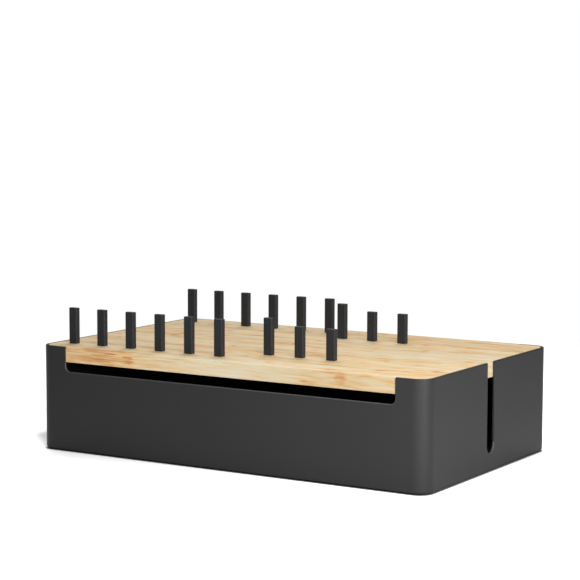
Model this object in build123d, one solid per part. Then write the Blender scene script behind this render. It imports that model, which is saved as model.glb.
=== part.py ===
from build123d import *

import os

# A box for charging leads, with a board let in flush as its lid and rows of pegs
# that stand in the board and hold devices apart.
# Millimetres, +Z up. The origin is on the surface that the feet stand on,
# below the middle of the box. +X runs along the box, -Y is its front.

# Box shell
box_length = 314.0
box_depth = 191.0
box_height = 74.9
corner_radius = 10.5
wall = 1.5
floor_thickness = 2.2
under_edge_radius = 1.2
floor_fillet = 2.4
lip_radius = 0.6

# Notches in the front and rear walls, which the board fills down to a lead gap
notch_margin = 23.2
lead_gap = 7.0
notch_corner_radius = 3.8

# Cord slot in the right end wall, open at the rim
slot_width = 11.0
slot_sill = 12.0

# Ledges inside the corners that carry the board, with ribs below them
ledge_width = 5.5
ledge_thickness = 2.4
ledge_slot_margin = 9.0
ledge_notch_margin = 1.5
rib_thickness = 1.6
rib_drop = 11.0
rib_inset = 47.5

# Relief that keeps the middle of the underside off the table
relief_margin = 9.0
relief_depth = 0.8

# Feet, discs seated part of the way into pockets in the underside
foot_diameter = 12.0
foot_thickness = 2.0
foot_proud = 1.0
foot_inset = 21.0
foot_edge_radius = 0.3
pocket_clearance = 0.15

# Board
board_thickness = 10.9
board_clearance = 0.4
board_edge_chamfer = 0.5

# Pegs: a D-section post over a slimmer spigot, tall beside tablets and short beside phones
peg_width = 7.4
peg_depth = 4.4
tall_peg_height = 26.0
short_peg_height = 21.6
peg_edge_radius = 0.5
spigot_width = 5.6
spigot_depth = 3.0
spigot_length = 9.6
spigot_lead_chamfer = 0.4
spigot_clearance = 0.08

# Peg pattern: dividers along the board, each a front and a rear peg
peg_pitch = 25.2
first_peg_inset = 16.1
wide_divider_count = 6
narrow_divider_count = 3
tall_divider_count = 7
wide_peg_inset = 19.5
narrow_peg_inset = 44.0

# Passes every cut beyond the face that it opens
overrun = 1.0

# Levels, insides and places that several pieces share
underside_z = foot_proud
floor_z = underside_z + floor_thickness
rim_z = underside_z + box_height
board_bottom_z = rim_z - board_thickness
notch_z = board_bottom_z - lead_gap
slot_z = underside_z + slot_sill
inner_length = box_length - 2 * wall
inner_depth = box_depth - 2 * wall
inner_radius = corner_radius - wall
notch_width = box_length - 2 * notch_margin
first_peg_x = first_peg_inset - box_length / 2
wide_peg_y = box_depth / 2 - wide_peg_inset
narrow_peg_y = box_depth / 2 - narrow_peg_inset
rib_y = box_depth / 2 - rib_inset


def prism(outline, bottom_z, height):
    """Raises a flat outline from bottom_z by height."""
    return Pos(0, 0, bottom_z) * extrude(outline, height)


def at_both_ends(piece):
    """Returns a piece and its copy turned half round the box's upright axis."""
    return [piece, Rot(0, 0, 180) * piece]


def foot_places():
    """Centres of the four feet, set in from the corners of the box."""
    x = box_length / 2 - foot_inset
    y = box_depth / 2 - foot_inset
    return [(-x, -y), (x, -y), (x, y), (-x, y)]


def peg_places():
    """Names, centres and heights of the pegs, from the left end of the board."""
    places = []
    for index in range(wide_divider_count + narrow_divider_count):
        x = first_peg_x + index * peg_pitch
        y = wide_peg_y if index < wide_divider_count else narrow_peg_y
        height = tall_peg_height if index < tall_divider_count else short_peg_height
        places.append((f"peg_front_{index + 1}", x, -y, height))
        places.append((f"peg_rear_{index + 1}", x, y, height))
    return places


def notch_cutter():
    """Cutter of the front and rear notches, with round lower corners."""
    height = rim_z - notch_z + overrun
    outline = Rectangle(notch_width, height)
    outline = fillet(outline.vertices().group_by(Axis.Y)[0], notch_corner_radius)
    outline = Plane.XZ * Pos(0, notch_z + height / 2) * outline
    return extrude(outline, box_depth / 2 + overrun, both=True)


def slot_cutter():
    """Cutter of the cord slot, round at the foot and open above."""
    radius = slot_width / 2
    straight = rim_z - slot_z - radius + overrun
    outline = Pos(0, slot_z + radius) * Circle(radius)
    outline += Pos(0, slot_z + radius + straight / 2) * Rectangle(slot_width, straight)
    return extrude(Plane.YZ * outline, box_length / 2 + overrun)


def cutout_edges(body):
    """Edges where the notches and the slot break through the outside of the walls."""
    on_front = [
        face.edges()
        for face in body.faces().filter_by(Axis.Y)
        if abs(abs(face.center().Y) - box_depth / 2) < overrun / 2
    ]
    on_end = [
        face.edges()
        for face in body.faces().filter_by(Axis.X)
        if abs(face.center().X - box_length / 2) < overrun / 2
    ]
    reach_x = notch_width / 2 + overrun / 2
    reach_y = slot_width / 2 + overrun / 2
    top_z = rim_z - lip_radius * 2
    foot_z = underside_z + under_edge_radius * 2
    picked = []
    for edge in [edge for edges in on_front for edge in edges]:
        middle = edge.position_at(1 / 2)
        if abs(middle.X) < reach_x and foot_z < middle.Z < top_z:
            picked.append(edge)
    for edge in [edge for edges in on_end for edge in edges]:
        middle = edge.position_at(1 / 2)
        if abs(middle.Y) < reach_y and foot_z < middle.Z < top_z:
            picked.append(edge)
    return picked


def ledges():
    """Corner ledges whose tops carry the board."""
    ring = RectangleRounded(inner_length, inner_depth, inner_radius)
    ring -= RectangleRounded(
        inner_length - 2 * ledge_width,
        inner_depth - 2 * ledge_width,
        inner_radius - ledge_width,
    )
    ring -= Rectangle(notch_width + 2 * ledge_notch_margin, box_depth)
    ring -= Pos(box_length / 2, 0) * Rectangle(box_length, slot_width + 2 * ledge_slot_margin)
    return prism(ring, board_bottom_z - ledge_thickness, ledge_thickness)


def ledge_rib():
    """Triangular rib between the right end wall and the ledge above it."""
    outline = make_face(Polyline((0, 0), (-ledge_width, 0), (0, -rib_drop), close=True))
    rib = extrude(Plane.XZ * outline, rib_thickness / 2, both=True)
    return Pos(inner_length / 2, 0, board_bottom_z - ledge_thickness) * rib


def foot_pockets():
    """Round pockets in the underside that locate the feet."""
    pocket = Circle(foot_diameter / 2 + pocket_clearance)
    depth = foot_thickness - foot_proud
    return [
        Pos(x, y, 0) * prism(pocket, underside_z - overrun, depth + overrun)
        for x, y in foot_places()
    ]


def shell():
    """Moulded box with its notches, cord slot, ledges, ribs and foot pockets."""
    body = prism(RectangleRounded(box_length, box_depth, corner_radius), underside_z, box_height)
    body = fillet(body.faces().sort_by(Axis.Z)[0].edges(), under_edge_radius)
    body = fillet(body.faces().sort_by(Axis.Z)[-1].edges(), lip_radius)
    hollow = prism(
        RectangleRounded(inner_length, inner_depth, inner_radius), floor_z, box_height
    )
    body -= fillet(hollow.faces().sort_by(Axis.Z)[0].edges(), floor_fillet)
    body -= notch_cutter()
    body -= slot_cutter()
    body = fillet(cutout_edges(body), lip_radius)
    body += ledges()
    for y in (-rib_y, rib_y):
        for rib in at_both_ends(Pos(0, y, 0) * ledge_rib()):
            body += rib
    relief = RectangleRounded(
        box_length - 2 * relief_margin, box_depth - 2 * relief_margin, corner_radius
    )
    foot_rings = [
        Pos(x, y) * Circle(foot_diameter / 2 + pocket_clearance + wall)
        for x, y in foot_places()
    ]
    body -= prism(relief - foot_rings, underside_z - overrun, relief_depth + overrun)
    for pocket in foot_pockets():
        body -= pocket
    return body


def foot(x, y):
    """Soft disc that the box stands on, seated in its pocket."""
    disc = prism(Circle(foot_diameter / 2), 0, foot_thickness)
    disc = fillet(disc.faces().sort_by(Axis.Z)[0].edges(), foot_edge_radius)
    return Pos(x, y, 0) * disc


def spigot_hole():
    """Slot through the board that a peg's spigot stands in."""
    width = spigot_width + 2 * spigot_clearance
    depth = spigot_depth + 2 * spigot_clearance
    return prism(SlotOverall(width, depth), board_bottom_z - overrun, board_thickness + 2 * overrun)


def board():
    """Board that fills the rim and reaches flush through both notches."""
    outline = RectangleRounded(
        inner_length - 2 * board_clearance,
        inner_depth - 2 * board_clearance,
        inner_radius - board_clearance,
    )
    outline += Rectangle(notch_width - 2 * board_clearance, box_depth)
    body = prism(outline, board_bottom_z, board_thickness)
    body = chamfer(body.faces().sort_by(Axis.Z)[-1].edges(), board_edge_chamfer)
    hole = spigot_hole()
    for _, x, y, _ in peg_places():
        body -= Pos(x, y, 0) * hole
    return body


def peg(height):
    """D-section post, flat towards +X, on a spigot that plugs into the board."""
    section = SlotOverall(peg_width, peg_depth)
    flat_half = Pos(peg_width / 4, 0) * Rectangle(peg_width / 2, peg_depth)
    section += fillet(flat_half.vertices().group_by(Axis.X)[-1], peg_edge_radius)
    post = prism(section, rim_z, height)
    post = fillet(post.faces().sort_by(Axis.Z)[-1].edges(), peg_edge_radius)
    spigot = prism(SlotOverall(spigot_width, spigot_depth), rim_z - spigot_length, spigot_length)
    spigot = chamfer(spigot.faces().sort_by(Axis.Z)[0].edges(), spigot_lead_chamfer)
    return post + spigot


def main():
    """Writes one file for each piece."""
    os.makedirs("parts", exist_ok=True)
    export_step(shell(), "parts/shell.step")
    export_step(board(), "parts/board.step")
    for index, (x, y) in enumerate(foot_places()):
        export_step(foot(x, y), f"parts/foot_{index + 1}.step")
    for name, x, y, height in peg_places():
        export_step(Pos(x, y, 0) * peg(height), f"parts/{name}.step")


main()
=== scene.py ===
import logging
import math
from collections.abc import Mapping, Sequence
from dataclasses import dataclass
from enum import Enum

import bpy
import numpy as np
from mathutils import Matrix, Vector

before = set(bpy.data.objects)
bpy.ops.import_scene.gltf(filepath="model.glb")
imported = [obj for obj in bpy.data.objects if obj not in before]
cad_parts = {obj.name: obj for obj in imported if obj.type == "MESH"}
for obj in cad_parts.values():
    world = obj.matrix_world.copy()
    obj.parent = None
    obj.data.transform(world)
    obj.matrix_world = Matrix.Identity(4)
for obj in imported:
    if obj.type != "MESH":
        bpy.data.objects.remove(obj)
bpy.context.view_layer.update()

# Dresses the charging station organizer: a dark moulded box, a bamboo lid let in flush,
# and two rows of pegs that stand in the lid. Metres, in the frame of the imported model.

log = logging.getLogger("organizer")

MILLIMETRE = 0.001
# The mean of noise, and the middle of a strip or of a length between two knots
HALF = 0.5
WHITE = (1.0, 1.0, 1.0, 1.0)
Colour = tuple[float, float, float]
Place = tuple[float, float, float]
Band = tuple[float, float]


class Slot(Enum):
    """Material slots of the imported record, one for each real material."""

    BOX_PLASTIC = "box_plastic"
    BOARD_WOOD = "board_wood"
    PEG_PLASTIC = "peg_plastic"
    FOOT_RUBBER = "foot_rubber"


class Wire:
    """An output of a material's node tree that takes part in arithmetic.

    An expression on wires and numbers adds the Math nodes that work it out.
    """

    def __init__(self, net: "Net", socket: bpy.types.NodeSocket) -> None:
        """Keeps the socket and the tree that it belongs to.

        Args:
            net: The material's node tree.
            socket: The output that the wire starts from.
        """
        self.net = net
        self.socket = socket

    def _with(self, operation: str, *values: "Wire | float") -> "Wire":
        """Returns one Math node's result on the values."""
        return self.net.node("ShaderNodeMath", {"operation": operation}, dict(enumerate(values)))

    def __add__(self, other: "Wire | float") -> "Wire":
        """Returns self + other."""
        return self._with("ADD", self, other)

    def __radd__(self, other: "Wire | float") -> "Wire":
        """Returns other + self."""
        return self._with("ADD", other, self)

    def __sub__(self, other: "Wire | float") -> "Wire":
        """Returns self - other."""
        return self._with("SUBTRACT", self, other)

    def __rsub__(self, other: "Wire | float") -> "Wire":
        """Returns other - self."""
        return self._with("SUBTRACT", other, self)

    def __mul__(self, other: "Wire | float") -> "Wire":
        """Returns self * other."""
        return self._with("MULTIPLY", self, other)

    def __rmul__(self, other: "Wire | float") -> "Wire":
        """Returns other * self."""
        return self._with("MULTIPLY", other, self)

    def __truediv__(self, other: "Wire | float") -> "Wire":
        """Returns self / other."""
        return self._with("DIVIDE", self, other)

    def __rtruediv__(self, other: "Wire | float") -> "Wire":
        """Returns other / self."""
        return self._with("DIVIDE", other, self)

    def __pow__(self, other: "Wire | float") -> "Wire":
        """Returns self to the power other."""
        return self._with("POWER", self, other)

    def __abs__(self) -> "Wire":
        """Returns the size of self without its sign."""
        return self._with("ABSOLUTE", self)

    def at_least(self, other: "Wire | float") -> "Wire":
        """Returns the larger of self and other."""
        return self._with("MAXIMUM", self, other)

    def floor(self) -> "Wire":
        """Returns the whole number at or below self."""
        return self._with("FLOOR", self)

    def fraction(self) -> "Wire":
        """Returns what is left above the whole number."""
        return self._with("FRACT", self)

    def ramp(self, low: float, high: float) -> "Wire":
        """Returns 0 below low, 1 above high and a smooth S between them.

        Args:
            low: Value that becomes 0.
            high: Value that becomes 1. It may lie below low, which turns the ramp round.

        Returns:
            The eased value.
        """
        start, end = (low, high) if low < high else (high, low)
        eased = self.net.node(
            "ShaderNodeMapRange",
            {"interpolation_type": "SMOOTHSTEP"},
            {"Value": self, "From Min": start, "From Max": end},
        )
        return eased if low < high else 1 - eased


Point = tuple[Wire, Wire, Wire]


class Net:
    """One material's node tree, built from expressions."""

    def __init__(self, name: str) -> None:
        """Starts an empty material.

        Args:
            name: The material's name.
        """
        self.material = bpy.data.materials.new(name)
        self.material.use_nodes = True
        self.tree = self.material.node_tree
        self.tree.nodes.clear()

    def node(
        self,
        kind: str,
        settings: Mapping[str, object] | None = None,
        values: Mapping[str | int, object] | None = None,
        output: str | int = 0,
    ) -> Wire:
        """Adds a node, sets it and then feeds its sockets.

        Args:
            kind: Blender's name of the node's type.
            settings: The node's own settings. The key stops gives a ramp's stops.
            values: Numbers, colours or wires for its inputs, by name, identifier or index.
            output: The output to return, by name or index.

        Returns:
            The chosen output as a wire.
        """
        made = self.tree.nodes.new(kind)
        for key, setting in (settings or {}).items():
            if key == "stops":
                self._set_stops(made.color_ramp, setting)
            else:
                setattr(made, key, setting)
        for key, value in (values or {}).items():
            socket = self._input(made, key)
            if isinstance(value, Wire):
                self.tree.links.new(value.socket, socket)
            else:
                socket.default_value = value
        return Wire(self, made.outputs[output])

    @staticmethod
    def _input(made: bpy.types.Node, key: str | int) -> bpy.types.NodeSocket:
        """Returns a node's input by index, identifier or name."""
        if isinstance(key, int):
            return made.inputs[key]
        by_identifier = [socket for socket in made.inputs if socket.identifier == key]
        return by_identifier[0] if by_identifier else made.inputs[key]

    @staticmethod
    def _set_stops(ramp: bpy.types.ColorRamp, stops: Sequence[tuple[float, Colour]]) -> None:
        """Gives a colour ramp its stops, in order of place."""
        while len(ramp.elements) < len(stops):
            ramp.elements.new(1.0)
        for element, (place, colour) in zip(ramp.elements, stops):
            element.position = place
            element.color = (*colour, 1.0)

    def place(self) -> Point:
        """Returns the point's X, Y and Z in the frame, in millimetres."""
        point = self.node("ShaderNodeTexCoord", output="Object")
        split = self.node("ShaderNodeSeparateXYZ", values={0: self.scaled(point, 1 / MILLIMETRE)})
        outputs = split.socket.node.outputs
        return Wire(self, outputs[0]), Wire(self, outputs[1]), Wire(self, outputs[2])

    def vector(self, x: Wire | float, y: Wire | float, z: Wire | float) -> Wire:
        """Returns a vector of three values."""
        return self.node("ShaderNodeCombineXYZ", values={0: x, 1: y, 2: z})

    def scaled(self, vector: Wire | Colour, factor: Wire | float) -> Wire:
        """Returns a vector or colour times a number."""
        return self.node(
            "ShaderNodeVectorMath", {"operation": "SCALE"}, {0: vector, "Scale": factor}
        )

    def noise(self, at: Wire, detail: float, roughness: float) -> Wire:
        """Returns soft noise around one half.

        Args:
            at: Where to read it. One unit is about one blotch.
            detail: How many finer layers are added.
            roughness: How strong each finer layer is.

        Returns:
            The noise, mostly between 0.3 and 0.7.
        """
        return self.node(
            "ShaderNodeTexNoise",
            {"noise_dimensions": "3D"},
            {"Vector": at, "Scale": 1.0, "Detail": detail, "Roughness": roughness},
        )

    def chance(self, number: Wire, salt: float) -> Wire:
        """Returns a value from 0 to 1 that is fixed for each whole number.

        Args:
            number: The whole number, such as a strip's place in its row.
            salt: Keeps one use apart from another.

        Returns:
            The fixed random value.
        """
        return self.node(
            "ShaderNodeTexWhiteNoise", {"noise_dimensions": "1D"}, {"W": number + salt}
        )

    def blend(self, share: Wire | float, start: Wire | Colour, end: Wire | Colour) -> Wire:
        """Returns a colour between two others.

        Args:
            share: 0 for start, 1 for end.
            start: The first colour.
            end: The second colour.

        Returns:
            The mixed colour.
        """
        ends = {
            key: colour if isinstance(colour, Wire) else (*colour, 1.0)
            for key, colour in (("A_Color", start), ("B_Color", end))
        }
        return self.node(
            "ShaderNodeMix",
            {"data_type": "RGBA"},
            {"Factor_Float": share, **ends},
            output=2,
        )

    def bump(self, height: Wire, depth: float) -> Wire:
        """Returns a normal that is tilted by a height.

        Args:
            height: The relief, from 0 to 1.
            depth: How deep a step from 0 to 1 is, in millimetres.

        Returns:
            The tilted normal.
        """
        return self.node(
            "ShaderNodeBump",
            values={"Height": height, "Strength": 1.0, "Distance": depth * MILLIMETRE},
        )

    def surface(self, **values: object) -> bpy.types.Material:
        """Ends the tree in a Principled surface.

        Args:
            values: Its inputs, with underscores for the spaces in their names.

        Returns:
            The finished material.
        """
        inputs = {key.replace("_", " "): value for key, value in values.items()}
        shader = self.node("ShaderNodeBsdfPrincipled", values=inputs)
        return self.finish(shader)

    def shader_mix(self, share: Wire, start: Wire, end: Wire) -> Wire:
        """Returns a surface between two others: start where share is 0, end where it is 1."""
        return self.node("ShaderNodeMixShader", values={0: share, 1: start, 2: end})

    def finish(self, shader: Wire) -> bpy.types.Material:
        """Feeds the material's surface output and returns the material."""
        end = self.tree.nodes.new("ShaderNodeOutputMaterial")
        self.tree.links.new(shader.socket, end.inputs["Surface"])
        return self.material


@dataclass(frozen=True)
class Noise:
    """Soft noise with a blotch size along each axis, in millimetres.

    A band, where one is given, spreads the noise to 0 at its low end and 1 at its high end.
    """

    size: Place
    detail: float = 2.0
    roughness: float = 0.5
    band: Band | None = None

    @classmethod
    def even(cls, pitch: float, detail: float, roughness: float = 0.5) -> "Noise":
        """Returns noise with the same blotch size along all axes."""
        return cls((pitch, pitch, pitch), detail, roughness)

    def at(
        self, net: Net, point: Sequence[Wire | float], shift: Sequence[Wire | float] = ()
    ) -> Wire:
        """Builds the noise.

        Args:
            net: The material's node tree.
            point: Where to read it along X, Y and Z, in millimetres.
            shift: What is added to its place along each axis, in blotches. It may be left out.

        Returns:
            The noise, mostly between 0.3 and 0.7, or from 0 to 1 with a band.
        """
        places = [value / size for value, size in zip(point, self.size)]
        if shift:
            places = [place + step for place, step in zip(places, shift)]
        noise = net.noise(net.vector(*places), self.detail, self.roughness)
        return noise.ramp(*self.band) if self.band else noise


@dataclass(frozen=True)
class Zone:
    """A box-shaped part of the object, with soft sides. Its corners are in millimetres."""

    low: Place
    high: Place
    softness: float

    def mask(self, point: Point) -> Wire:
        """Returns 1 inside the zone and 0 outside.

        Args:
            point: X, Y and Z, in millimetres.

        Returns:
            The product of one eased step up and one down along each axis.
        """
        inside = None
        for value, low, high in zip(point, self.low, self.high):
            step = value.ramp(low, low + self.softness) * value.ramp(high, high - self.softness)
            inside = step if inside is None else inside * step
        return inside


@dataclass(frozen=True)
class MouldedPlastic:
    """Dark moulded plastic with a fine spark-eroded grain.

    Lips are zones along the rounded edges of the cut-outs, where a highlight is painted: the
    plastic is paler there. They lie in the rear as in the front.
    """

    name: str
    colour: Colour
    highlight_lips: tuple[Zone, ...] = ()
    lip_highlight_lift: float = 2.6
    flow: Noise = Noise.even(60.0, 3.0)
    flow_cloud: float = 0.12
    grain: Noise = Noise.even(0.45, 3.0, 0.6)
    grain_cloud: float = 0.06
    grain_depth: float = 0.006
    roughness: float = 0.42
    roughness_spread: float = 0.1
    gloss_level: float = 0.375

    def material(self) -> bpy.types.Material:
        """Builds the plastic: clouded colour, painted highlights on the lips, drifting gloss and a
        fine grain.

        Returns:
            The material.
        """
        net = Net(self.name)
        x, y, z = net.place()
        flow = self.flow.at(net, (x, y, z))
        grain = self.grain.at(net, (x, y, z))
        shade = 1 + (flow - HALF) * self.flow_cloud + (grain - HALF) * self.grain_cloud
        # Painted highlight: the lips are made paler.
        for lip_highlight in self.highlight_lips:
            shade = shade * (1 + lip_highlight.mask((x, abs(y), z)) * self.lip_highlight_lift)
        return net.surface(
            Base_Color=net.scaled(self.colour, shade),
            Roughness=self.roughness + (flow - HALF) * self.roughness_spread,
            Specular_IOR_Level=self.gloss_level,
            Normal=net.bump(grain, self.grain_depth),
        )


@dataclass(frozen=True)
class SoftRubber:
    """Black rubber with a dull, slightly dusty face."""

    name: str
    colour: Colour
    dust: Colour
    dust_band: Band = (0.5, 0.8)
    dust_share: float = 0.5
    speck: Noise = Noise.even(0.8, 4.0)
    speck_depth: float = 0.02
    roughness: float = 0.8
    roughness_spread: float = 0.2
    gloss_level: float = 0.3

    def material(self) -> bpy.types.Material:
        """Builds the rubber.

        Returns:
            The material.
        """
        net = Net(self.name)
        speck = self.speck.at(net, net.place())
        dusty = speck.ramp(*self.dust_band) * self.dust_share
        return net.surface(
            Base_Color=net.blend(dusty, self.colour, self.dust),
            Roughness=self.roughness + (speck - HALF) * self.roughness_spread,
            Specular_IOR_Level=self.gloss_level,
            Normal=net.bump(speck, self.speck_depth),
        )


@dataclass(frozen=True)
class Fleck:
    """A warmer fleck in wood: a soft ellipsoid. Its centre and reach are in millimetres."""

    centre: Place
    reach: Place
    strength: float
    core: float = 0.05

    def mask(self, point: Point) -> Wire:
        """Returns the strength at the centre, falling softly to 0 at the reach.

        Args:
            point: X, Y and Z, in millimetres.

        Returns:
            The fleck's share of warmth at the point.
        """
        total = None
        for value, middle, half in zip(point, self.centre, self.reach):
            offset = (value - middle) / half
            total = offset * offset if total is None else total + offset * offset
        return total.ramp(1.0, self.core) * self.strength


@dataclass(frozen=True)
class Step:
    """A smooth change of a value between two places along X, in millimetres."""

    start: float
    end: float
    change: float

    def at(self, x: Wire) -> Wire:
        """Returns 0 before the start and the change beyond the end."""
        return x.ramp(self.start, self.end) * self.change


@dataclass(frozen=True)
class FrontEdge:
    """The strip along the board's front, whose marks are set and not left to chance.

    Lengths are in millimetres. Its warmth begins at start and changes by steps towards +X.
    The front face is brighter before the lift, which is painted light, and darker beyond the
    painted shade step.
    """

    steps: tuple[Step, ...]
    strip_from: float = -91.2
    strip_softness: float = 0.1
    face_from: float = -95.2
    face_softness: float = 0.2
    knot: float = -75.0
    ring_loss: float = 0.75
    start: float = 0.60
    # Painted light at the front face's left end and painted shade towards +X.
    lift: Step = Step(-85.0, -50.0, 0.09)
    painted_shade_step: Step = Step(-70.0, 120.0, 0.30)

    def on_strip(self, y: Wire) -> Wire:
        """Returns 1 on the front strip and 0 behind it."""
        return y.ramp(self.strip_from + self.strip_softness, self.strip_from - self.strip_softness)

    def on_face(self, y: Wire) -> Wire:
        """Returns 1 on the front face and 0 behind it."""
        return y.ramp(self.face_from + self.face_softness, self.face_from - self.face_softness)

    def warmth(self, x: Wire) -> Wire:
        """Returns the set warmth: the start and the steps that are passed."""
        warmth = self.start
        for step in self.steps:
            warmth = warmth + step.at(x)
        return warmth

    def shade(self, x: Wire) -> Wire:
        """Returns the front face's painted shade: how much darker it is, below 0 where painted
        light makes it brighter.
        """
        return -self.lift.change + self.lift.at(x) + self.painted_shade_step.at(x)


@dataclass(frozen=True)
class Warmth:
    """What each of a strip's marks adds to its warmth.

    Mottle and fibre add the more, the warmer the strip is: that is the contrast.
    """

    least: float = 0.08
    tone: float = 0.38
    contrast: float = 1.2
    mottle: float = 1.1
    fibre: float = 0.6
    flare: float = 0.11
    tail: float = 0.25
    seam: float = 0.1
    ring: float = 0.5


@dataclass(frozen=True)
class Relief:
    """What each of a strip's marks adds to its relief. A seam takes from it.

    The depth is in millimetres.
    """

    fibre: float = 0.7
    mottle: float = 0.3
    seam: float = 0.4
    depth: float = 0.03


class Draw(Enum):
    """Fixed random draws of a strip: how far apart two strips stand in each, and its salt."""

    KNOT_PLACE = (1.0, 11.3)
    TONE = (17.0, 3.7)
    KNOT_STRENGTH = (23.0, 8.1)
    SHADE = (31.0, 5.9)

    def value_of(self, net: Net, strip: Wire, count: Wire | float = 0.0) -> Wire:
        """Builds the draw.

        Args:
            net: The material's node tree.
            strip: The strip's number.
            count: A count along the strip, where the draw changes along it.

        Returns:
            A value from 0 to 1 that is fixed for the strip and the count.
        """
        step, salt = self.value
        return net.chance(strip * step + count, salt)


@dataclass(frozen=True)
class LaminatedBamboo:
    """Bamboo strips glued side by side, which run along X, under a matt lacquer.

    Lengths are in millimetres. A strip's knots stand a pitch apart, and the lengths between
    two knots differ in tone. A knot is a narrow ring with a longer, streaked tail.
    Warmth runs from 0, pale, through tan and streak to 1, knot.
    """

    name: str
    pale: Colour
    tan: Colour
    streak: Colour
    knot: Colour
    front: FrontEdge
    flecks: tuple[Fleck, ...]
    fleck_bend: float = 0.5
    fleck_lift: float = 0.08
    tan_at: float = 0.4
    streak_at: float = 0.75
    strip_width: float = 5.7
    strip_shift: float = 7.3
    seam_from: float = 0.46
    knot_pitch: float = 168.0
    knot_reach: float = 4.5
    knot_core: float = 0.4
    least_knot: float = 0.25
    grit: Noise = Noise((6.0, 1.2, 1.0), band=(0.35, 0.6))
    least_grit: float = 0.35
    tail_reach: float = 15.0
    tail_core: float = 1.5
    tail_streaks: Noise = Noise((16.0, 1.1, 1.1), band=(0.42, 0.66))
    bend: Noise = Noise((5.0, 1.6, 1.4))
    bend_reach: float = 9.0
    sway: Noise = Noise((45.0, 1.0, 20.0), 1.0)
    sway_reach: float = 1.2
    fibre: Noise = Noise((30.0, 0.5, 0.5), 3.0, 0.6)
    fibre_shift: float = 40.0
    mottle: Noise = Noise((21.0, 7.0, 1.5), 3.0, 0.55)
    flare: Noise = Noise((14.7, 4.0, 1.5), band=(0.51, 0.66))
    flare_shift: float = 3.1
    warmth: Warmth = Warmth()
    relief: Relief = Relief()
    shade: float = 0.1
    roughness: float = 0.6
    roughness_spread: float = 0.15
    gloss_level: float = 0.2

    def _knots(
        self, net: Net, point: Point, strip: Wire, along: Wire, bend: Wire, on_front: Wire
    ) -> tuple[Wire, Wire]:
        """Builds a strip's knots.

        Args:
            net: The material's node tree.
            point: X, Y and Z, in millimetres.
            strip: The strip's number.
            along: The place along the strip, in knot pitches. A knot lies at each half.
            bend: How far the marks are bent along X, in millimetres.
            on_front: 1 on the front strip, where the rings are weaker.

        Returns:
            The strengths of the rings and of their tails.
        """
        passed = (along + HALF).fraction() * self.knot_pitch
        off_knot = self.knot_pitch / 2 - abs(passed - self.knot_pitch / 2) + bend
        chance = Draw.KNOT_STRENGTH.value_of(net, strip, along.floor())
        strength = self.least_knot + chance * (1 - self.least_knot)
        grit = self.least_grit + self.grit.at(net, point) * (1 - self.least_grit)
        ring = off_knot.ramp(self.knot_reach, self.knot_core) * grit * strength
        ring = ring * (1 - on_front * self.front.ring_loss)
        tail = off_knot.ramp(self.tail_reach, self.tail_core) * strength
        return ring, tail * self.tail_streaks.at(net, point)

    def material(self) -> bpy.types.Material:
        """Builds the bamboo.

        A strip's number is its whole count of widths across the board. It fixes where the
        strip's knots lie, and with the count of knots passed it fixes each length's tone.
        Fibres and mottles are noise drawn out along the strip.

        Returns:
            The material.
        """
        net = Net(self.name)
        x, y, z = net.place()
        across = y / self.strip_width
        strip = across.floor()
        on_front = self.front.on_strip(y)
        phase = Draw.KNOT_PLACE.value_of(net, strip)
        set_phase = HALF - self.front.knot / self.knot_pitch
        along = x / self.knot_pitch + phase + on_front * (set_phase - phase)
        length = (along + HALF).floor()
        tone = Draw.TONE.value_of(net, strip, length)

        row = strip * self.strip_shift
        sway = (self.sway.at(net, (x, row, z)) - HALF) * self.sway_reach
        fibre = self.fibre.at(net, (x, y + sway, z), (tone * self.fibre_shift, 0.0, 0.0))
        mottle = self.mottle.at(net, (x, y, z + sway), (0.0, row, 0.0))
        flare = self.flare.at(net, (x, y + sway, z), (strip * self.flare_shift, 0.0, 0.0))
        bend = (self.bend.at(net, (x, y, z)) - HALF) * self.bend_reach
        ring, tail = self._knots(net, (x, y, z), strip, along, bend, on_front)
        seam = abs(across.fraction() - HALF).ramp(self.seam_from, HALF)

        warms = self.warmth
        warmth = warms.least + tone * warms.tone
        warmth = warmth + on_front * (self.front.warmth(x + bend) - warmth)
        contrast = 1 + warmth * warms.contrast
        grain = (mottle - HALF) * warms.mottle + (fibre - HALF) * warms.fibre
        warmth = warmth + grain * contrast
        warmth = warmth + flare * warms.flare + tail * warms.tail
        warmth = warmth + seam * warms.seam + ring * warms.ring
        bent = (x + bend * self.fleck_bend, y, z + bend * self.fleck_lift)
        for fleck in self.flecks:
            warmth = warmth + fleck.mask(bent)
        stops = [
            (0.0, self.pale),
            (self.tan_at, self.tan),
            (self.streak_at, self.streak),
            (1.0, self.knot),
        ]
        colour = net.node("ShaderNodeValToRGB", {"stops": stops}, {"Fac": warmth})
        shade = Draw.SHADE.value_of(net, strip, length) * self.shade
        # On the front face the strip's random value gives way to painted light and painted shade.
        shade = shade + self.front.on_face(y) * (self.front.shade(x) - shade)

        raises = self.relief
        relief = fibre * raises.fibre + mottle * raises.mottle - seam * raises.seam
        return net.surface(
            Base_Color=net.scaled(colour, 1 - shade),
            Roughness=self.roughness + (fibre - HALF) * self.roughness_spread,
            Specular_IOR_Level=self.gloss_level,
            Normal=net.bump(relief, raises.depth),
        )


# The lips where highlights are painted: the notch's lower lip and the slot's foot.
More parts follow.
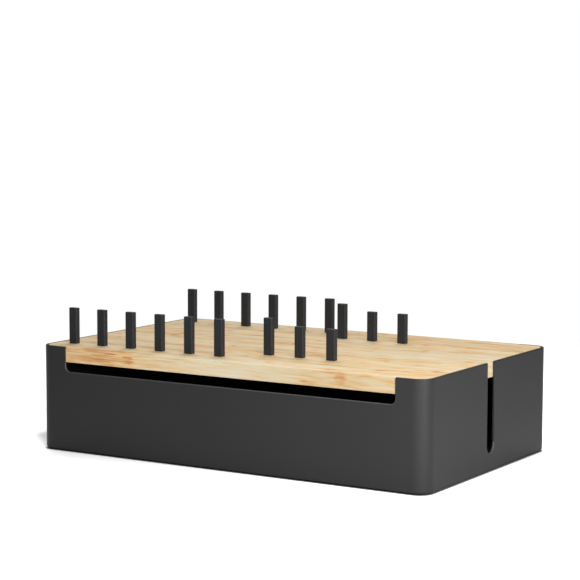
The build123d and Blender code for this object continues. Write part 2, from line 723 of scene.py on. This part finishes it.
NOTCH_LIP_HIGHLIGHT = Zone((-134.6, 94.7, 57.2), (134.6, 95.5, 64.5), 0.03)
SLOT_LIP_HIGHLIGHT = Zone((155.9, -1.0, 12.0), (157.0, 6.4, 20.0), 0.05)
BOX_PLASTIC = MouldedPlastic("box_plastic_look", (0.025, 0.025, 0.025), (NOTCH_LIP_HIGHLIGHT, SLOT_LIP_HIGHLIGHT))
PEG_PLASTIC = MouldedPlastic(
    "peg_plastic_look",
    (0.0195, 0.022, 0.0265),
    grain=Noise.even(0.3, 3.0, 0.6),
    grain_depth=0.003,
    roughness=0.4,
)
BAMBOO = LaminatedBamboo(
    "board_wood_look",
    pale=(0.83, 0.735, 0.53),
    tan=(0.83, 0.60, 0.32),
    streak=(0.75, 0.41, 0.17),
    knot=(0.58, 0.28, 0.12),
    front=FrontEdge(
        steps=(
            Step(-78.0, -72.0, -0.22),
            Step(-72.0, -50.0, -0.15),
            Step(-30.0, -12.0, -0.17),
            Step(42.0, 66.0, 0.19),
            Step(96.0, 110.0, 0.09),
        )
    ),
    flecks=(
        Fleck((-93.8, -95.5, 73.6), (5.0, 3.0, 0.9), 0.35),
        Fleck((-79.2, -95.5, 72.4), (5.5, 3.0, 0.9), 0.40),
        Fleck((-99.5, -95.5, 69.0), (15.0, 3.0, 1.5), 0.30),
        Fleck((-77.5, -95.5, 69.3), (4.5, 3.0, 2.2), 0.20),
        Fleck((-102.0, -95.5, 73.8), (17.0, 3.0, 0.7), 0.25),
        Fleck((93.0, -95.5, 71.4), (6.5, 3.0, 4.0), 0.32),
        Fleck((88.0, -95.5, 75.0), (15.0, 3.0, 0.8), 0.25),
        Fleck((118.0, -95.5, 74.2), (18.0, 3.0, 1.2), 0.15),
        Fleck((69.0, -95.5, 67.0), (9.0, 3.0, 1.5), 0.22),
        Fleck((64.5, -95.5, 67.8), (4.0, 3.0, 0.7), 0.30),
        Fleck((94.0, -8.0, 75.9), (9.0, 3.4, 3.0), 0.22),
        Fleck((92.0, -33.0, 75.9), (8.0, 3.2, 3.0), 0.22),
        Fleck((113.0, -74.0, 75.9), (12.0, 3.2, 3.0), 0.25),
        Fleck((134.0, -61.0, 75.9), (8.0, 3.2, 3.0), 0.25),
        Fleck((149.0, -61.5, 75.9), (9.0, 4.0, 3.0), 0.40),
        Fleck((120.0, 26.0, 75.9), (11.0, 3.6, 3.0), 0.24),
        Fleck((60.0, 84.0, 75.9), (10.0, 4.0, 3.0), 0.24),
        Fleck((107.0, 80.0, 75.9), (9.0, 4.0, 3.0), 0.22),
        Fleck((143.0, 52.0, 75.9), (9.0, 3.6, 3.0), 0.24),
    ),
)
RUBBER = SoftRubber("foot_rubber_look", (0.012, 0.012, 0.012), (0.035, 0.034, 0.033))


def dress(nodes: Sequence[str], look: bpy.types.Material) -> None:
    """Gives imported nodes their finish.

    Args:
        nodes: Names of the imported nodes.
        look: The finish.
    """
    for name in nodes:
        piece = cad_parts[name]
        piece.data.materials.clear()
        piece.data.materials.append(look)
        log.info("%s: %s", name, look.name)


@dataclass(frozen=True)
class Box:
    """The moulded box on its four feet."""

    shell: str = "shell"
    foot_count: int = 4

    def dress(self) -> None:
        """Finishes the box and its feet."""
        dress([self.shell], BOX_PLASTIC.material())
        feet = [f"foot_{number + 1}" for number in range(self.foot_count)]
        dress(feet, RUBBER.material())


@dataclass(frozen=True)
class Lid:
    """The bamboo board, with the pegs that stand in it."""

    board: str = "board"
    divider_count: int = 9

    def dress(self) -> None:
        """Finishes the board and both rows of pegs."""
        dress([self.board], BAMBOO.material())
        pegs = [
            f"peg_{row}_{number + 1}"
            for row in ("front", "rear")
            for number in range(self.divider_count)
        ]
        dress(pegs, PEG_PLASTIC.material())


@dataclass(frozen=True)
class Lamp:
    """A soft square lamp that looks at the object.

    Its azimuth runs from the front, -Y, towards +X. Its height is an angle too.
    """

    name: str
    azimuth: float
    height: float
    distance: float
    size: float
    power: float

    def place(self) -> Vector:
        """Returns where the lamp hangs: its distance from the origin along its direction."""
        turn, lift = math.radians(self.azimuth), math.radians(self.height)
        return self.distance * Vector(
            (math.sin(turn) * math.cos(lift), -math.cos(turn) * math.cos(lift), math.sin(lift))
        )

    def build(self) -> None:
        """Makes the lamp and turns it to the object."""
        data = bpy.data.lights.new(self.name, "AREA")
        data.shape = "SQUARE"
        data.size = self.size
        data.energy = self.power
        lamp = bpy.data.objects.new(self.name, data)
        bpy.context.scene.collection.objects.link(lamp)
        lamp.location = self.place()
        lamp.rotation_euler = (-self.place()).to_track_quat("-Z", "Y").to_euler()
        lamp.visible_camera = False


@dataclass(frozen=True)
class Footprint:
    """The rounded rectangle that the box covers on the floor, in millimetres."""

    half_length: float = 157.0
    half_depth: float = 95.5
    corner_radius: float = 10.5

    def beside(self, x: Wire, y: Wire) -> Wire:
        """Returns how far a point of the floor lies outside the footprint.

        Args:
            x: The point's X, in millimetres.
            y: The point's Y, in millimetres.

        Returns:
            The distance past the middles of the round corners, less their radius.
        """
        past_x = (abs(x) - (self.half_length - self.corner_radius)).at_least(0.0)
        past_y = (abs(y) - (self.half_depth - self.corner_radius)).at_least(0.0)
        return (past_x * past_x + past_y * past_y) ** 0.5 - self.corner_radius


@dataclass(frozen=True)
class EndShade:
    """Where the camera sees the soft shadow beside the box's left end, in millimetres.

    It is a wedge. Its front side runs along y = edge - slope * x, and it fades out towards
    the left, under the box and towards the rear.
    """

    slope: float = 0.85
    edge: float = -227.85
    edge_band: Band = (-4.0, 16.0)
    left_band: Band = (-208.0, -188.0)
    right_band: Band = (-147.0, -157.0)
    rear_band: Band = (95.0, 60.0)
    share: float = 0.85

    def mask(self, x: Wire, y: Wire) -> Wire:
        """Returns the share in the wedge and 0 outside.

        Args:
            x: The point's X, in millimetres.
            y: The point's Y, in millimetres.

        Returns:
            The product of one eased step for each side of the wedge.
        """
        behind_edge = (y + x * self.slope - self.edge).ramp(*self.edge_band)
        beside_end = x.ramp(*self.left_band) * x.ramp(*self.right_band)
        return behind_edge * beside_end * y.ramp(*self.rear_band) * self.share


@dataclass(frozen=True)
class Studio:
    """Floor, lamps, surrounding light and camera of the picture.

    The floor's radius and the places of lamps and camera are in metres. What changes over
    the floor is in millimetres.
    """

    floor_radius: float = 6.0
    floor_rings: int = 24
    floor_sides: int = 96
    floor_colour: Colour = (0.80, 0.80, 0.80)
    floor_gain: float = 2.0
    cloud: Noise = Noise.even(300.0, 2.0)
    cloud_share: float = 0.02
    footprint: Footprint = Footprint()
    contact_band: Band = (-1.0, 2.0)
    contact_shadow_level: float = 0.4
    end_shade: EndShade = EndShade()
    white_band: Band = (220.0, 700.0)
    around_level: float = 0.10
    lens: float = 117.66
    sensor: float = 36.0
    nearest: float = 0.05
    farthest: float = 50.0
    eye: Place = (0.7029, -1.1616, 0.2605)
    azimuth: float = 31.311
    elevation: float = 6.072
    roll: float = 0.169
    lamps: tuple[Lamp, ...] = (
        Lamp("front_lamp", 36.0, 30.0, 0.62, 0.36, 2.0),
        Lamp("side_lamp", 63.0, 20.0, 0.65, 0.3, 1.8),
        Lamp("rear_lamp", -150.0, 60.0, 1.5, 1.2, 14.8),
        Lamp("left_lamp", -105.0, 25.0, 1.5, 1.0, 0.7),
    )

    def floor_mesh(self) -> bpy.types.Mesh:
        """Builds the floor: a flat disc whose rings open out as the square of their count.

        Returns:
            The mesh, with rings of points round the origin.
        """
        share = np.linspace(0.0, 1.0, self.floor_rings + 1)[1:] ** 2
        turn = np.linspace(0.0, 2 * np.pi, self.floor_sides, endpoint=False)
        radius, angle = np.meshgrid(share * self.floor_radius, turn, indexing="ij")
        points = np.stack([radius * np.cos(angle), radius * np.sin(angle), 0 * radius], axis=-1)
        points = np.vstack([[[0.0, 0.0, 0.0]], points.reshape(-1, 3)])
        ring = np.arange(self.floor_sides)
        following = (ring + 1) % self.floor_sides
        hub = np.stack([0 * ring, 1 + ring, 1 + following], axis=-1)
        inner = 1 + self.floor_sides * np.arange(self.floor_rings - 1)[:, None]
        outer = inner + self.floor_sides
        quads = np.stack(
            [inner + ring, outer + ring, outer + following, inner + following], axis=-1
        ).reshape(-1, 4)
        mesh = bpy.data.meshes.new("floor")
        mesh.from_pydata(points.tolist(), [], hub.tolist() + quads.tolist())
        return mesh

    def floor_look(self) -> bpy.types.Material:
        """Builds the floor's finish: matt and pale, and white where the camera sees it far out.

        The matt floor is darker under the box and right beside it: a painted contact shadow. The
        camera sees a paler floor than the light does, but not beside the box or in the soft
        shadow at its left end, so that those keep their true shade. Far out it sees a plain white.

        Returns:
            The material.
        """
        net = Net("floor_look")
        x, y, _ = net.place()
        cloud = 1 - self.cloud_share / 2 + self.cloud.at(net, (x, y, 0.0)) * self.cloud_share
        level = net.scaled(self.floor_colour, cloud)
        # Painted contact shadow: the matt floor is darker under the box and right beside it.
        clear = self.footprint.beside(x, y).ramp(*self.contact_band)
        level = net.scaled(level, self.contact_shadow_level + clear * (1 - self.contact_shadow_level))
        matt = net.node("ShaderNodeBsdfDiffuse", values={"Color": level})
        gain = self.floor_gain
        paler = net.node("ShaderNodeBsdfDiffuse", values={"Color": (gain, gain, gain, 1.0)})
        lifted = clear * (1 - self.end_shade.mask(x, y))
        near = net.shader_mix(lifted, matt, paler)
        white = net.node("ShaderNodeEmission", values={"Color": WHITE})
        far = ((x * x + y * y) ** 0.5).ramp(*self.white_band)
        looked_at = net.shader_mix(far, near, white)
        seen = net.node("ShaderNodeLightPath", output="Is Camera Ray")
        return net.finish(net.shader_mix(seen, matt, looked_at))

    def build_floor(self) -> None:
        """Lays the floor under the feet."""
        floor = bpy.data.objects.new("floor", self.floor_mesh())
        bpy.context.scene.collection.objects.link(floor)
        floor.data.materials.append(self.floor_look())

    def build_surround(self) -> None:
        """Sets the even light from all round, which the camera sees as white."""
        world = bpy.data.worlds.new("surround")
        bpy.context.scene.world = world
        world.use_nodes = True
        tree = world.node_tree
        tree.nodes.clear()
        path = tree.nodes.new("ShaderNodeLightPath")
        soft = tree.nodes.new("ShaderNodeBackground")
        soft.inputs["Color"].default_value = WHITE
        soft.inputs["Strength"].default_value = self.around_level
        white = tree.nodes.new("ShaderNodeBackground")
        white.inputs["Color"].default_value = WHITE
        either = tree.nodes.new("ShaderNodeMixShader")
        end = tree.nodes.new("ShaderNodeOutputWorld")
        tree.links.new(path.outputs["Is Camera Ray"], either.inputs[0])
        tree.links.new(soft.outputs[0], either.inputs[1])
        tree.links.new(white.outputs[0], either.inputs[2])
        tree.links.new(either.outputs[0], end.inputs["Surface"])

    def build_camera(self) -> None:
        """Sets the camera at the picture's place, height and turn."""
        turn, tilt, roll = (math.radians(v) for v in (self.azimuth, self.elevation, self.roll))
        ahead = Vector(
            (-math.sin(turn) * math.cos(tilt), math.cos(turn) * math.cos(tilt), -math.sin(tilt))
        )
        level = Vector((math.cos(turn), math.sin(turn), 0.0))
        upright = level.cross(ahead)
        right = math.cos(roll) * level + math.sin(roll) * upright
        up = math.cos(roll) * upright - math.sin(roll) * level
        data = bpy.data.cameras.new("camera")
        data.lens = self.lens
        data.sensor_width = self.sensor
        data.clip_start = self.nearest
        data.clip_end = self.farthest
        camera = bpy.data.objects.new("camera", data)
        bpy.context.scene.collection.objects.link(camera)
        camera.matrix_world = Matrix.Translation(self.eye) @ (
            Matrix((right, up, -ahead)).transposed().to_4x4()
        )
        bpy.context.scene.camera = camera

    def build(self) -> None:
        """Builds the whole studio."""
        self.build_floor()
        self.build_surround()
        for lamp in self.lamps:
            lamp.build()
        self.build_camera()
        bpy.context.scene.view_settings.view_transform = "Standard"
        log.info("studio: floor, %d lamps and camera", len(self.lamps))


def main() -> None:
    """Dresses the organizer and builds its studio."""
    logging.basicConfig(level=logging.INFO, format="%(name)s: %(message)s")
    Box().dress()
    Lid().dress()
    Studio().build()


if __name__ == "__main__":
    main()
